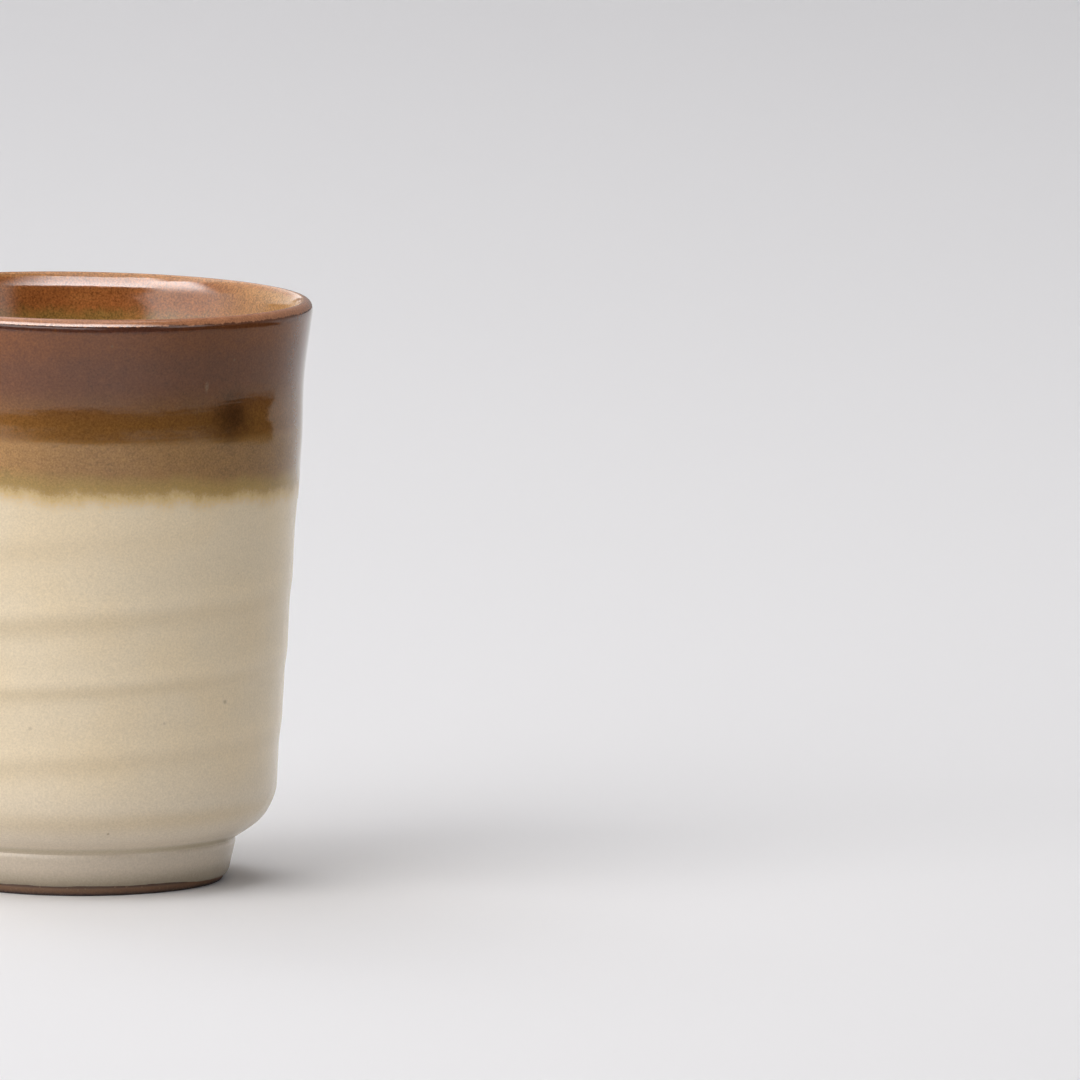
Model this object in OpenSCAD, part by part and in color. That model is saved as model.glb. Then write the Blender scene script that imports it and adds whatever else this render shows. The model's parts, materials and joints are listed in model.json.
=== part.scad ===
// Yunomi tea cup: a thrown and trimmed stoneware body under four fired coats of glaze.
// Millimetres, +Z up. The origin is the centre of the foot ring, on the table.

/* [Body] */
// Height from the table to the top of the lip, glaze included
cup_h = 92; // [86:1:104]
// Diameter of the clay at the lip
lip_d = 71.4; // [69.6:0.2:76]
// Diameter of the clay at the neck, the upright band under the flare of the lip
neck_d = 68.1; // [65:0.1:69.4]
// Height of the upright band itself
neck_h = 3.2; // [2:0.2:6]
// Height of the flare, from the neck to the top of the lip
flare_h = 15; // [12:0.5:18]
// Diameter of the clay at the hip corner, where the wall turns in to the foot
hip_d = 59.3; // [57:0.1:62]
// Height of the hip corner above the table
hip_z = 11; // [10.4:0.1:13]
// Rounding of the hip corner
hip_round = 8; // [4:0.2:8.6]
// Swell of the wall outside a straight line from hip to neck
wall_swell = 0.15; // [0:0.05:1]

/* [Wall] */
// Thickness of the clay at the lip
lip_t = 2; // [1.6:0.1:2.6]
// Thickness of the clay at the neck
neck_t = 2.8; // [2.6:0.1:3.6]
// Thickness of the clay just above the hip
base_t = 3.7; // [3.2:0.1:4.8]
// Thickness of the floor under the well
floor_t = 4.4; // [3.4:0.1:6]
// Rounding where the inside wall meets the floor of the well
well_round = 11; // [6:0.5:14]
// Fall of the well's floor from its edge to its middle
well_dish = 0.8; // [0.2:0.1:1.6]
// Diameter of the flat in the middle of the well
well_flat_d = 8; // [4:0.5:12]

/* [Throwing rings] */
// Height of one turn of the potter's fingers
ring_pitch = 12; // [9:0.1:14]
// Depth of a ring on the outside, from crest to hollow
ring_depth = 0.22; // [0:0.02:0.6]
// Depth of a ring on the inside
inner_ring_depth = 0.2; // [0:0.02:0.4]
// Height of the lowest ring's lower edge
ring_z = 22; // [19:0.5:26]

/* [Foot ring] */
// Height of the foot ring on the outside, up to the crease under the body
foot_h = 7; // [6.4:0.1:8]
// Diameter of the foot ring at the crease
foot_top_d = 47.4; // [46.6:0.2:49.4]
// Diameter of the foot ring at the top of its bevel
foot_edge_d = 44.6; // [43.8:0.1:46]
// Outside diameter of the ring that stands on the table
foot_rest_d = 43.4; // [41:0.1:43.6]
// Width of the ring that stands on the table
foot_rest_w = 2.6; // [1.8:0.1:3.4]
// Height of the bare bevel at the bottom of the foot ring
bevel_h = 1.1; // [0.8:0.1:2]
// Width of the bevel on the inner side of the foot ring
inner_bevel_w = 0.6; // [0.4:0.1:1.2]
// Draft of the foot ring's inner wall, as a width
inner_draft_w = 0.6; // [0.4:0.1:1.4]
// Depth of the hollow inside the foot ring
foot_well_h = 5.4; // [4.8:0.1:6]
// Rise of the hollow's roof towards its middle
foot_well_rise = 0.4; // [0.1:0.1:0.8]
// Diameter of the flat in the middle of the hollow's roof
foot_well_flat_d = 8; // [4:0.5:12]
// Rounding between the foot ring's inner wall and the hollow's roof
foot_well_round = 1.6; // [1:0.1:2.2]
// Rounding in the crease between foot ring and body
crease_round = 1; // [0.8:0.1:1.4]
// Rounding of the two edges that the ring stands on
foot_edge_round = 0.35; // [0.2:0.05:0.5]

/* [Glaze] */
// Thickness of the cream coat
cream_t = 0.35; // [0.25:0.05:0.55]
// Thickness of the amber coat on the outside
amber_t = 0.4; // [0.25:0.05:0.6]
// Thickness of the amber coat's rolled lower edge
amber_roll_t = 0.16; // [0.1:0.02:0.24]
// Thickness of the liner coat on the inside
liner_t = 0.4; // [0.25:0.05:0.6]
// Thickness of the glaze on top of the lip, where it runs thin
lip_glaze_t = 0.25; // [0.15:0.05:0.3]
// Thickness of the liner coat where it pools in the centre of the well
pool_t = 0.9; // [0.6:0.1:1.4]
// Thickness of the coat in the hollow of the foot
foot_glaze_t = 0.35; // [0.2:0.05:0.5]
// Depth to which the cup is dipped in amber, from the top of the lip
amber_dip = 30; // [26:0.5:36]
// Height over which the two outer coats lap, the cream thinning out under the amber
glaze_lap = 9; // [6:0.5:12]
// Height over which the lower edge of the amber coat rounds off
amber_roll_h = 1.2; // [0.6:0.1:2]
// Height over which a coat rounds off beside bare clay
glaze_edge_h = 0.8; // [0.4:0.1:1.2]

/* [Hidden] */
$fn = 144;

clay_color = [0.33, 0.20, 0.13];
cream_color = [0.80, 0.73, 0.61];
amber_color = [0.40, 0.25, 0.13];
liner_color = [0.50, 0.29, 0.13];
foot_glaze_color = [0.76, 0.70, 0.60];

// Points on each stretch of the outlines
low_wall_steps = 26;
lap_steps = 7;
neck_steps = 2;
flare_steps = 8;
inner_steps = 28;
edge_steps = 3;
round_steps = 3;
hip_steps = 6;
well_steps = 7;
lip_steps = 8;

// How fast the flare opens, and how much of the finger mark is its first overtone
flare_power = 1.3;
overtone_share = 0.4;
// Share of a turn over which the rings grow above the hip. They die away over the neck
ring_fade_share = 0.6;
// Largest share of the slope under the body that the hip's rounding takes
hip_round_share = 0.8;

lip_round = lip_t / 2;
lip_z = cup_h - lip_glaze_t - lip_round;
lip_r = lip_d / 2;
neck_r = neck_d / 2;
hip_r = hip_d / 2;
foot_top_r = foot_top_d / 2;
foot_edge_r = foot_edge_d / 2;
rest_r = foot_rest_d / 2;
rest_inner_r = rest_r - foot_rest_w;
hollow_r = rest_inner_r - inner_bevel_w;
hollow_top_r = hollow_r - inner_draft_w;
well_floor_z = foot_well_h + floor_t;
floor_middle_z = foot_well_h + floor_t / 2;
inner_end_z = well_floor_z + well_round;
amber_z = cup_h - amber_dip;
cream_top_z = amber_z + glaze_lap;
neck_z = cup_h - flare_h;
neck_low_z = neck_z - neck_h;

// Share of the way from a to b, held between 0 and 1, and the same eased at both ends
function share(x, a, b) = min(1, max(0, (x - a) / (b - a)));
function eased(x, a, b) = let (s = share(x, a, b)) s * s * (3 - 2 * s);
function unit(v) = v / norm(v);
function reversed(path) = [for (i = [len(path) - 1 : -1 : 0]) path[i]];
function part_of(path, from, to) = [for (i = [from : to]) path[i]];
// Heights from a up to b in equal steps, without b itself
function span(a, b, steps) = [for (i = [0 : steps - 1]) a + (b - a) * i / steps];
// Heights from a up to b that lie closer together near a, without a or b
function crowded(a, b, steps) = [for (i = [1 : steps - 1]) a + (b - a) * pow(i / steps, 2)];
// Points at the given heights on the line from a to b
function on_line(a, b, heights) = [for (z = heights) a + (b - a) * (z - a[1]) / (b[1] - a[1])];

// Radius of the clay wall without its rings: a swollen taper, an upright neck and a flare above it
function plain_wall_r(z) =
    let (up = min(1, (z - hip_z) / (neck_low_z - hip_z)))
    let (taper = hip_r + (neck_r - hip_r) * up + wall_swell * 4 * up * (1 - up))
    taper + (lip_r - neck_r) * pow(share(z, neck_z, lip_z), flare_power);

// The mark of the fingers: a wave that steps out quickly and falls back slowly
function ring_wave(z, depth) =
    let (turn = 360 * (z - ring_z) / ring_pitch)
    let (growth = eased(z, ring_z - ring_pitch * ring_fade_share, ring_z))
    let (strength = growth * (1 - eased(z, neck_low_z, neck_z)))
    depth / 2 * strength * (sin(turn) + overtone_share * sin(2 * turn));

// Thickness of the clay wall: thin at the lip, fuller at the neck, fullest above the hip
function wall_t(z) =
    base_t + (neck_t - base_t) * share(z, hip_z, neck_z) + (lip_t - neck_t) * eased(z, neck_z, lip_z);
function outer_r(z) = plain_wall_r(z) + ring_wave(z, ring_depth);
function inner_r(z) = plain_wall_r(z) - wall_t(z) - ring_wave(z, inner_ring_depth);

// The arc of radius r that rounds corner b between a and c, from the a side to the c side
function rounded(a, b, c, r, steps) =
    let (u = unit(a - b), w = unit(c - b), half = acos(u * w) / 2)
    let (centre = b + unit(u + w) * r / sin(half))
    let (from = b + u * r / tan(half) - centre, to = b + w * r / tan(half) - centre)
    let (a0 = atan2(from[1], from[0]), sweep = atan2(to[1], to[0]) - a0)
    let (turn = sweep > 180 ? sweep - 360 : sweep < -180 ? sweep + 360 : sweep)
    [for (i = [0 : steps]) centre + r * [cos(a0 + turn * i / steps), sin(a0 + turn * i / steps)]];

// Corners of the clay, before their rounding
hollow_centre = [0, foot_well_h + foot_well_rise];
hollow_flat = [foot_well_flat_d / 2, hollow_centre[1]];
hollow_corner = [hollow_top_r, foot_well_h];
inner_bevel_top = [hollow_r, bevel_h];
rest_inner = [rest_inner_r, 0];
rest_outer = [rest_r, 0];
bevel_top = [foot_edge_r, bevel_h];
crease = [foot_top_r, foot_h];
hip_corner = [hip_r, hip_z];
crown = [lip_r - lip_round, lip_z + lip_round];
well_corner = [inner_r(well_floor_z), well_floor_z];
well_centre = [0, well_floor_z - well_dish];
well_flat = [well_flat_d / 2, well_centre[1]];

// The hip's rounding leaves some of the slope under the body straight
hip_half_turn = (90 - atan2(hip_z - foot_h, hip_r - foot_top_r)) / 2;
hip_slope = norm(hip_corner - crease);
hip_fillet = min(hip_round, hip_slope * hip_round_share / tan(hip_half_turn));
wall_start_z = hip_z + hip_fillet * tan(hip_half_turn);

// Heights of the wall's points, with one on the amber's edge and on both edges of the neck
wall_heights = concat(
    span(wall_start_z, amber_z, low_wall_steps),
    [amber_z],
    crowded(amber_z, amber_z + amber_roll_h, edge_steps),
    span(amber_z + amber_roll_h, neck_low_z, lap_steps),
    span(neck_low_z, neck_z, neck_steps),
    span(neck_z, lip_z, flare_steps)
);
outer_wall = [for (z = wall_heights) [outer_r(z), z]];
inner_heights = span(inner_end_z, lip_z, inner_steps);
inner_wall = [for (z = reversed(inner_heights)) [inner_r(z), z]];
// The lip is a half circle from the outer wall over the crown to the inner wall
lip = [
    for (i = [0 : lip_steps])
        let (a = 180 * i / lip_steps)
        i == lip_steps / 2 ? crown : [crown[0], lip_z] + lip_round * [cos(a), sin(a)]
];

// The clay's outline in four runs. The hollow runs from the centre under the foot out to its bevel,
// the rest from bevel to bevel, the outside up to the crown of the lip and the inside down to the well
edge_top_z = bevel_h + glaze_edge_h;
edge_heights = concat([bevel_h], crowded(bevel_h, edge_top_z, edge_steps), [edge_top_z]);
hollow = concat(
    [hollow_centre, hollow_flat],
    rounded(hollow_flat, hollow_corner, inner_bevel_top, foot_well_round, round_steps),
    reversed(on_line(inner_bevel_top, hollow_corner, edge_heights))
);
rest = concat(
    rounded(inner_bevel_top, rest_inner, rest_outer, foot_edge_round, round_steps),
    rounded(rest_inner, rest_outer, bevel_top, foot_edge_round, round_steps)
);
outside = concat(
    on_line(bevel_top, crease, edge_heights),
    rounded(bevel_top, crease, hip_corner, crease_round, round_steps),
    rounded(crease, hip_corner, outer_wall[0], hip_fillet, hip_steps),
    part_of(outer_wall, 1, len(outer_wall) - 1),
    part_of(lip, 0, lip_steps / 2)
);
inside = concat(
    part_of(lip, lip_steps / 2, lip_steps),
    inner_wall,
    rounded(inner_wall[len(inner_wall) - 1], well_corner, well_flat, well_round, well_steps),
    [well_flat, well_centre]
);

// Direction out of the clay at each point of a run that has the clay on its left. It is upright
// at the crown and on the axis
function normals(path) = [
    for (i = [0 : len(path) - 1])
        let (before = path[max(0, i - 1)], after = path[min(len(path) - 1, i + 1)])
        let (along = i == 0 || i == len(path) - 1
            ? after - before
            : unit(path[i] - before) + unit(after - path[i]))
        path[i] == crown || path[i][0] == 0
            ? [0, sign(path[i][1] - floor_middle_z)]
            : unit([along[1], -along[0]])
];
// A run moved out of the clay, at each point by its own thickness
function coated(path, directions, thickness) =
    [for (i = [0 : len(path) - 1]) path[i] + directions[i] * thickness[i]];
// The outline of a coat between what it lies on and its skin, without the points where it has run out
function coat(under, skin) = concat(
    under,
    reversed([for (i = [0 : len(skin) - 1]) if (skin[i] != under[i]) skin[i]])
);

// Share of a coat's thickness beside bare clay, where its edge rounds off
function edge_swell(z) = sqrt(share(z, bevel_h, edge_top_z));
function cream_thickness(z) = cream_t * edge_swell(z) * (1 - eased(z, amber_z, cream_top_z));
function amber_thickness(z) =
    amber_roll_t * sqrt(share(z, amber_z, amber_z + amber_roll_h))
    + (amber_t - amber_roll_t) * eased(z, amber_z, cream_top_z)
    + (lip_glaze_t - amber_t) * eased(z, lip_z - lip_round, crown[1]);
function liner_thickness(z) =
    liner_t
    + (lip_glaze_t - liner_t) * eased(z, lip_z - lip_round, crown[1])
    + (pool_t - liner_t) * (1 - eased(z, well_centre[1], inner_end_z));

outside_normals = normals(outside);
cream_skin = coated(outside, outside_normals, [for (p = outside) cream_thickness(p[1])]);
amber_skin = coated(cream_skin, outside_normals, [for (p = outside) amber_thickness(p[1])]);
liner_skin = coated(inside, normals(inside), [for (p = inside) liner_thickness(p[1])]);
hollow_skin = coated(hollow, normals(hollow), [for (p = hollow) foot_glaze_t * edge_swell(p[1])]);

crown_i = len(outside) - 1;
cream_end_i = [for (i = [0 : crown_i]) if (outside[i][1] >= cream_top_z) i][0];
amber_start_i = [for (i = [0 : crown_i]) if (outside[i][1] >= amber_z) i][0];

module turned(outline) {
    rotate_extrude() polygon(outline);
}

// One lump of stoneware: wall, floor and trimmed foot ring
module clay_body() {
    color(clay_color) turned(concat(hollow, rest, outside, part_of(inside, 1, len(inside) - 1)));
}

// Cream coat from the bevel of the foot, over the hip and up under the amber
module cream_glaze() {
    color(cream_color) turned(coat(
        part_of(outside, 0, cream_end_i),
        part_of(cream_skin, 0, cream_end_i)
    ));
}

// Amber coat from its rolled edge up to the crown of the lip
module amber_glaze() {
    color(amber_color) turned(coat(
        part_of(cream_skin, amber_start_i, crown_i),
        part_of(amber_skin, amber_start_i, crown_i)
    ));
}

// Liner coat from the crown of the lip down to the pool in the well
module liner_glaze() {
    color(liner_color) turned(coat(inside, liner_skin));
}

// Coat in the hollow under the foot
module foot_glaze() {
    color(foot_glaze_color) turned(coat(hollow, hollow_skin));
}

clay_body();
cream_glaze();
amber_glaze();
liner_glaze();
foot_glaze();
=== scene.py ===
import json
from math import acos, atan2, cos, exp, hypot, pi, radians, sin, sqrt, tan, tau

import bmesh
import bpy
from mathutils import Matrix, Vector, noise


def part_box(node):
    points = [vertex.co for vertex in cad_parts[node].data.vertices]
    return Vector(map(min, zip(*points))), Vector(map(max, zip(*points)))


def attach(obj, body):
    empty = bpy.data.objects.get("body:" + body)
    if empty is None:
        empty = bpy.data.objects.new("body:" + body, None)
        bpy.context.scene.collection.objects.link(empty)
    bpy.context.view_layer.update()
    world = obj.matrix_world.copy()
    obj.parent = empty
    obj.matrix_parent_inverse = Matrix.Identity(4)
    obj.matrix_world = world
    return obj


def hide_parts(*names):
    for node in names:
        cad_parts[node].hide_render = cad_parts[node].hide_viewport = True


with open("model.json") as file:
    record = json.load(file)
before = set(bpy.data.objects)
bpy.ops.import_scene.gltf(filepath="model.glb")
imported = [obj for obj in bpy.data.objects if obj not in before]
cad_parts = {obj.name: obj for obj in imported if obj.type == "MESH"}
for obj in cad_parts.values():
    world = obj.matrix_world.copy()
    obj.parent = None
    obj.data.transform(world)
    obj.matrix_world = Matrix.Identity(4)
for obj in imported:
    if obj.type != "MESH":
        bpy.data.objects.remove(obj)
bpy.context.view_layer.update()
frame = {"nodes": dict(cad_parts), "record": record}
mm = 0.001
print("frame loaded:", len(frame["nodes"]), "nodes")


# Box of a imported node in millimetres
def nodeBox(node):
    low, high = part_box(node)
    return Vector(low) / mm, Vector(high) / mm


# The thrown and trimmed clay, in millimetres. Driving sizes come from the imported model
pot = {
    "cupHeight": nodeBox("liner_glaze")[1].z,
    "lipRadius": nodeBox("clay_body")[1].x,
    "lipThickness": 2.0,
    "lipInside": 89.0,          # height where the inside starts to round over to the crown
    "neckHeight": 75.0,         # upper edge of the upright band under the flare
    "neckBand": 3.0,
    "neckRadius": 34.0,
    "neckTopRadius": 34.1,
    "waistDepth": 0.03,         # faint waist under the band, how far down it is and how far it reaches
    "waistBelow": 4.8,
    "waistReach": 2.4,
    "flareRamp": 7.2,           # the flare leans out more and more over this height, then evenly
    "hipRadius": 29.65,
    "hipHeight": 11.0,
    "hipRound": 8.0,
    "hipShare": 0.8,            # the hip's round takes at most this share of the slope below it
    "wallSwell": 0.12,
    "neckThickness": 2.8,
    "baseThickness": 3.7,
    "floorThickness": 4.4,
    "wellRound": 11.0,
    "wellDish": 0.8,
    "middleFlat": 4.0,          # radius of the flats in the middle of well and foot hollow
    "footHeight": 7.0,
    "footTopRadius": 23.7,
    "footEdgeRadius": 22.3,
    "footEnds": 0.4,            # stretch at both ends of the foot's slope that has no points
    "restRadius": 21.7,
    "restWidth": 2.6,
    "bevelHeight": 1.1,
    "innerBevelWidth": 0.6,
    "innerDraftWidth": 0.6,
    "footWellHeight": 5.4,
    "footWellRise": 0.4,
    "footWellRound": 1.6,
    "creaseRound": 0.45,
    "creaseDepth": 0.36,        # how far the crease is cut in behind the foot ring's shoulder
    "creaseDrop": 0.12,
    "shoulderOffset": (-0.16, -0.9),
    "shoulderRound": 1.3,
    "footEdgeRound": 0.35,
}

# The spiral that the potter's fingers leave, and how far the cup is from a true turned form
hand = {
    "firstRise": 23.5,          # height where the lowest full turn steps out, at the +X side
    "pitch": 10.7,
    "pitchGrowth": 0.32,        # each turn is a little taller than the one below
    "lift": 1.1,                # one ring was carried higher, at this turn and over this reach
    "liftTurn": 0.72,
    "liftReach": 0.22,
    "depth": 0.12,
    "innerDepth": 0.20,
    "frontDepth": 1.5,          # how much deeper the rings are at -Y
    "frontLift": 0.6,           # how much further up the spiral is at -Y, as an angle
    "overtone": 0.30,
    "fadeIn": (8.5, 15.0),
    "fadeOut": (50.0, 67.0),
    "wallReach": 4.0,           # how far in from the outer radius the wall is moved
    "wellPitch": 3.4,
    "wellDepth": 0.22,
    "wellFadeIn": (2.0, 5.0),
    "wellFadeOut": (15.0, 22.0),
    "wellSkin": (3.0, 1.0),     # the well's spiral comes in between these depths under its floor
    "neckWobble": 0.5,          # how far the neck's band strays up and down
    "neckRise": 0.020,          # rise of the band towards +X, per millimetre
    "neckFadeIn": 66.0,
    "neckFadeOut": (77.0, 88.0),
    "strayTurns": 2.2,
    "strayRow": 5.0,
    "lipTilt": 0.0192,          # fall of the lip towards +X, per millimetre
    "tiltFrom": 30.0,
    "outOfRound": 0.12,
    "roundTurn": 0.6,
    "roundFrom": 10.0,
    "slowSize": 26.0,           # slow unevenness all over
    "slowDepth": 0.09,
    "slowFade": (8.0, 24.0),
}

# How strongly the painted shade and light of the rings shows, by height and by place on a ring
ringLook = {
    "calm": 0.5,                # the tone at the lowest and highest rings, as a share
    "calmBelow": (22.0, 30.0),
    "calmAbove": (46.0, 54.0),
    "crest": 0.5,
    "crestPhase": 1.4,
    "crestReach": 0.8,
    "stepReach": 0.9,
    "hip": 0.9,                 # a tone line round the hip
    "hipHeight": 12.6,
    "hipReach": 1.9,
}

glaze = {
    "creamThickness": 0.35,
    "amberThickness": 0.40,
    "amberEdgeThickness": 0.03,
    "linerThickness": 0.40,
    "lipThickness": 0.25,
    "poolThickness": 0.9,
    "footThickness": 0.35,
    "leastThickness": 0.0005,   # a thinner coat has no skin of its own
    "amberFoot": nodeBox("amber_glaze")[0].z,
    "lap": 9.0,
    "amberRoll": 3.0,
    "edgeHeight": 0.8,
}

# Points on the outlines, slices in a full turn, then the angle of a hard edge and the merge distance
fineness = {
    "turn": 240, "wall": 82, "lap": 14, "highWall": 44, "inner": 88, "round": 8, "hip": 14, "well": 22,
    "lip": 16, "edge": 6, "dish": 16, "foot": 7,
    "hardEdge": 50,
    "merge": 0.002,
}

lipRound = pot["lipThickness"] / 2
lipCentre = Vector((pot["lipRadius"] - lipRound, pot["cupHeight"] - glaze["lipThickness"] - lipRound))
crown = lipCentre + Vector((0, lipRound))
hollowRadius = pot["restRadius"] - pot["restWidth"] - pot["innerBevelWidth"]
wellFloor = pot["footWellHeight"] + pot["floorThickness"]
floorMiddle = wellFloor - pot["floorThickness"] / 2
innerEnd = wellFloor + pot["wellRound"]
neckLow = pot["neckHeight"] - pot["neckBand"]
creamTop = glaze["amberFoot"] + glaze["lap"]
edgeTop = pot["bevelHeight"] + glaze["edgeHeight"]


def share(x, low, high):
    return min(1.0, max(0.0, (x - low) / (high - low)))


def eased(x, low, high):
    s = share(x, low, high)
    return s * s * (3 - 2 * s)


def span(low, high, steps):
    return [low + (high - low) * i / steps for i in range(steps)]


def leanOut(z):
    over = max(0.0, z - pot["neckHeight"])
    ramp = pot["flareRamp"]
    return over ** 2 / 2 / ramp if over < ramp else over - ramp / 2


# Outer radius of the clay wall before the fingers' spiral
def wallRadius(z):
    up = min(1.0, (z - pot["hipHeight"]) / (neckLow - pot["hipHeight"]))
    taper = pot["hipRadius"] + (pot["neckRadius"] - pot["hipRadius"]) * up
    swell = pot["wallSwell"] * 4 * up * (1 - up)        # full at half height
    waist = pot["waistDepth"] * exp(-((z - neckLow + pot["waistBelow"]) / pot["waistReach"]) ** 2)
    band = (pot["neckTopRadius"] - pot["neckRadius"]) * share(z, neckLow, pot["neckHeight"])
    flare = (pot["lipRadius"] - pot["neckTopRadius"]) * leanOut(z) / leanOut(lipCentre.y)
    return taper + swell - waist + band + flare


def wallThickness(z):
    wall = (pot["neckThickness"] - pot["baseThickness"]) * share(z, pot["hipHeight"], pot["neckHeight"])
    lip = (pot["lipThickness"] - pot["neckThickness"]) * eased(z, pot["neckHeight"], lipCentre.y)
    return pot["baseThickness"] + wall + lip


def innerPoint(z):
    return Vector((wallRadius(z) - wallThickness(z), z))


# Arc of the given radius that rounds corner b between a and c
def rounded(a, b, c, radius, steps):
    toA = (a - b).normalized()
    toC = (c - b).normalized()
    half = acos(toA.dot(toC)) / 2
    centre = b + (toA + toC).normalized() * radius / sin(half)
    start = b + toA * radius / tan(half) - centre
    end = b + toC * radius / tan(half) - centre
    first = atan2(start.y, start.x)
    sweep = (atan2(end.y, end.x) - first + pi) % tau - pi
    angles = [first + sweep * i / steps for i in range(steps + 1)]
    return [centre + Vector((cos(a), sin(a))) * radius for a in angles]


def onLine(a, b, heights):
    return [a + (b - a) * (z - a.y) / (b.y - a.y) for z in heights]


# The four runs of the clay's outline, radius and height, with the clay on the left
def clayRuns():
    n = fineness
    hollowCentre = Vector((0, pot["footWellHeight"] + pot["footWellRise"]))
    hollowFlat = hollowCentre + Vector((pot["middleFlat"], 0))
    hollowCorner = Vector((hollowRadius - pot["innerDraftWidth"], pot["footWellHeight"]))
    innerBevel = Vector((hollowRadius, pot["bevelHeight"]))
    restInner = Vector((pot["restRadius"] - pot["restWidth"], 0))
    restOuter = Vector((pot["restRadius"], 0))
    bevel = Vector((pot["footEdgeRadius"], pot["bevelHeight"]))
    footTop = Vector((pot["footTopRadius"], pot["footHeight"]))
    shoulder = footTop + Vector(pot["shoulderOffset"])
    crease = footTop - Vector((pot["creaseDepth"], pot["creaseDrop"]))
    hip = Vector((pot["hipRadius"], pot["hipHeight"]))
    squares = [(i / n["edge"]) ** 2 for i in range(n["edge"] + 1)]      # close together at the start
    edge = [pot["bevelHeight"] + glaze["edgeHeight"] * s for s in squares]

    slope = hip - footTop
    halfTurn = (pi / 2 - atan2(slope.y, slope.x)) / 2
    hipFillet = min(pot["hipRound"], slope.length * pot["hipShare"] / tan(halfTurn))
    wallStart = pot["hipHeight"] + hipFillet * tan(halfTurn)
    heights = span(wallStart, glaze["amberFoot"], n["wall"])
    heights += [glaze["amberFoot"] + glaze["amberRoll"] * s for s in squares[:-1]]
    heights += span(glaze["amberFoot"] + glaze["amberRoll"], creamTop, n["lap"])
    heights += span(creamTop, lipCentre.y, n["highWall"])
    wall = [Vector((wallRadius(z), z)) for z in heights]
    quarter = [pi / 2 * i / n["lip"] for i in range(n["lip"])]
    lip = [lipCentre + Vector((cos(a), sin(a))) * lipRound for a in quarter] + [crown.copy()]

    innerWall = [innerPoint(z) for z in reversed(span(innerEnd, pot["lipInside"], n["inner"]))]
    start = innerPoint(pot["lipInside"])
    along = start - innerWall[0]
    rise = crown.y - start.y
    lean = along.x / along.y * rise
    bow = crown.x - start.x - lean
    innerLip = [start + Vector((lean * sin(a) + bow * (1 - cos(a)), rise * sin(a)))
                for a in reversed(quarter)]
    wellCentre = Vector((0, wellFloor - pot["wellDish"]))
    wellFlat = wellCentre + Vector((pot["middleFlat"], 0))
    well = rounded(innerWall[-1], innerPoint(wellFloor), wellFlat, pot["wellRound"], n["well"])
    dish = [well[-1].lerp(wellFlat, (i + 1) / n["dish"]) for i in range(n["dish"])]

    hollow = [hollowCentre, hollowFlat]
    hollow += rounded(hollowFlat, hollowCorner, innerBevel, pot["footWellRound"], n["round"])
    hollow += reversed(onLine(innerBevel, hollowCorner, edge))
    rest = rounded(innerBevel, restInner, restOuter, pot["footEdgeRound"], n["round"])
    rest += rounded(restInner, restOuter, bevel, pot["footEdgeRound"], n["round"])
    between = span(edge[-1] + pot["footEnds"], shoulder.y - pot["footEnds"], n["foot"])
    outside = onLine(bevel, shoulder, edge + between)
    outside += rounded(bevel, shoulder, crease, pot["shoulderRound"], n["round"])
    outside += rounded(shoulder, crease, hip, pot["creaseRound"], n["round"])
    outside += rounded(crease, hip, wall[0], hipFillet, n["hip"]) + wall[1:] + lip
    inside = [crown.copy()] + innerLip + innerWall + well + dish + [wellCentre]
    return {"hollow": hollow, "rest": rest, "outside": outside, "inside": inside}


# Direction out of the clay at each point of a run
def outward(run):
    found = []
    for i, point in enumerate(run):
        before = run[max(0, i - 1)]
        after = run[min(len(run) - 1, i + 1)]
        along = (after - before).normalized()
        if 0 < i < len(run) - 1:
            along = ((point - before).normalized() + (after - point).normalized()).normalized()
        if point == crown or point.x == 0:
            found.append(Vector((0, 1 if point.y > floorMiddle else -1)))
        else:
            found.append(Vector((along.y, -along.x)))
    return found


def coated(run, directions, thickness):
    return [p + d * thickness(p.y) for p, d in zip(run, directions)]


def edgeSwell(z):
    return sqrt(share(z, pot["bevelHeight"], edgeTop))


def overLip(z):
    return eased(z, lipCentre.y - lipRound, crown.y)


def creamThickness(z):
    return glaze["creamThickness"] * edgeSwell(z) * (1 - eased(z, glaze["amberFoot"], creamTop))


def amberThickness(z):
    foot = glaze["amberFoot"]
    edge = glaze["amberEdgeThickness"] * sqrt(share(z, foot, foot + glaze["amberRoll"]))
    body = (glaze["amberThickness"] - glaze["amberEdgeThickness"]) * eased(z, foot, creamTop)
    return edge + body + (glaze["lipThickness"] - glaze["amberThickness"]) * overLip(z)


def linerThickness(z):
    top = (glaze["lipThickness"] - glaze["linerThickness"]) * overLip(z)
    deep = 1 - eased(z, wellFloor - pot["wellDish"], innerEnd)
    return glaze["linerThickness"] + top + (glaze["poolThickness"] - glaze["linerThickness"]) * deep


def footThickness(z):
    return glaze["footThickness"] * edgeSwell(z)


# 1 at the camera's side, a quarter at the left and right, 0 at the back
def front(turn):
    return ((1 - sin(turn)) / 2) ** 2


# Where on the fingers' spiral a place of the wall is, as an angle, and how strong the spiral is there
def spiralPhase(z, turn):
    rise = hand["firstRise"]
    growth = hand["pitchGrowth"]
    turns = (-hand["pitch"] + sqrt(hand["pitch"] ** 2 + 4 * growth * (z - rise))) / (2 * growth)
    turns -= hand["lift"] / hand["pitch"] * exp(-((turns - hand["liftTurn"]) / hand["liftReach"]) ** 2)
    strength = eased(z, *hand["fadeIn"]) * (1 - eased(z, *hand["fadeOut"]))
    return tau * turns - turn - hand["frontLift"] * (front(turn) - front(0)), strength


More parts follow.
